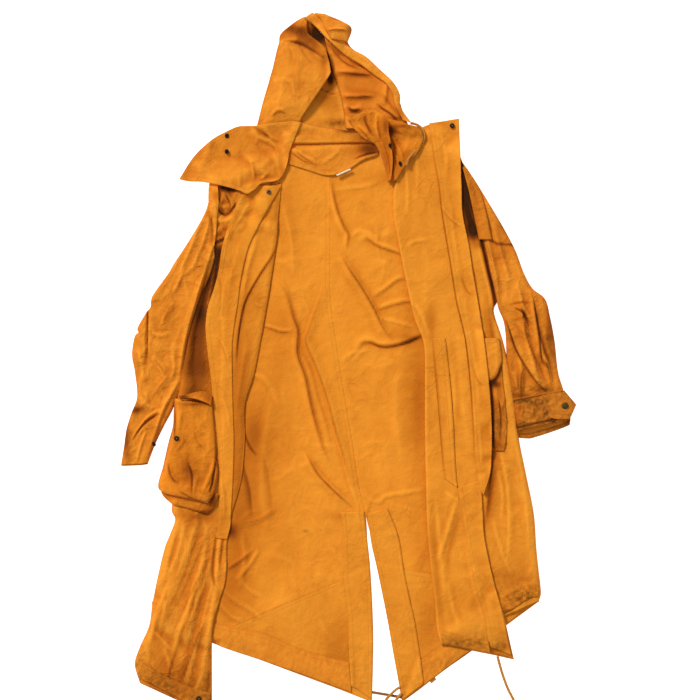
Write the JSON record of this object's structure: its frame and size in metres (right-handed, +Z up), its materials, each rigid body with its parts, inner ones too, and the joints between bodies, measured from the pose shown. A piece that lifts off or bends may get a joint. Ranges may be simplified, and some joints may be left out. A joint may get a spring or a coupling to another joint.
{
  "type": "canvas fishtail parka",
  "caption": "Long canvas parka laid flat on its back and open, with hood, bellows pocket, storm flaps, tabbed cuff and split fishtail hem.",
  "frame": {"origin": "centre of the bounding box at the floor that the coat lies on, its cords left out", "axes": "+Y from hem to hood, +X to the right as seen from above with the hood away, +Z up out of the opened front"},
  "size_m": [0.9089, 1.4043, 0.0317],
  "materials": {
    "canvas": "matte cotton canvas, washed and creased",
    "canvas_worn": "matte cotton canvas, stained",
    "tape": "matte cotton tape",
    "stud_brass": "darkened",
    "cord_cotton": "matte braided cotton"
  },
  "bodies": {
    "root": {"back_left": "canvas", "back_right": "canvas", "tail_left": "canvas", "tail_right": "canvas", "hem_band_back_left": "canvas", "hem_band_back_right": "canvas", "vent_facing_left": "canvas", "vent_facing_right": "canvas", "front_left": "canvas", "zip_facing_left": "canvas", "storm_flap_left": "canvas", "hem_band_front_left": "canvas_worn", "pocket_gusset_left": "canvas", "pocket_left": "canvas", "pocket_flap_left": "canvas", "front_right": "canvas", "hem_band_side_right": "canvas_worn", "pocket_right": "canvas", "storm_flap_right": "canvas", "facing_tape_right": "canvas", "hem_band_front_right": "canvas_worn", "facing_hem_right": "canvas", "sleeve_left": "canvas", "sleeve_right": "canvas", "cuff_band_right": "canvas_worn", "cuff_tab_right": "canvas_worn", "shoulder_strap_left": "canvas", "shoulder_strap_right": "canvas", "hood_back": "canvas", "hood_right": "canvas", "hood_left": "canvas", "hood_brim": "canvas", "hood_crown": "canvas", "neck_facing": "canvas", "collar_stand": "canvas", "hanger_tape": "tape", "collar_wing_left": "canvas", "chin_flap_under": "canvas", "chin_flap_upper": "canvas", "stud_collar_upper": "stud_brass", "stud_collar_lower": "stud_brass", "stud_placket_left": "stud_brass", "stud_front_right": "stud_brass", "stud_chin_upper": "stud_brass", "stud_chin_lower": "stud_brass", "stud_pocket_left": "stud_brass", "stud_cuff_tab_right": "stud_brass", "stud_cuff_left": "stud_brass", "stud_hem_left": "stud_brass", "hood_cord": "cord_cotton", "hem_cord_right": "cord_cotton", "vent_cord": "cord_cotton", "vent_cord_loop": "cord_cotton", "vent_cord_tip": "cord_cotton"}
  },
  "joints": []
}
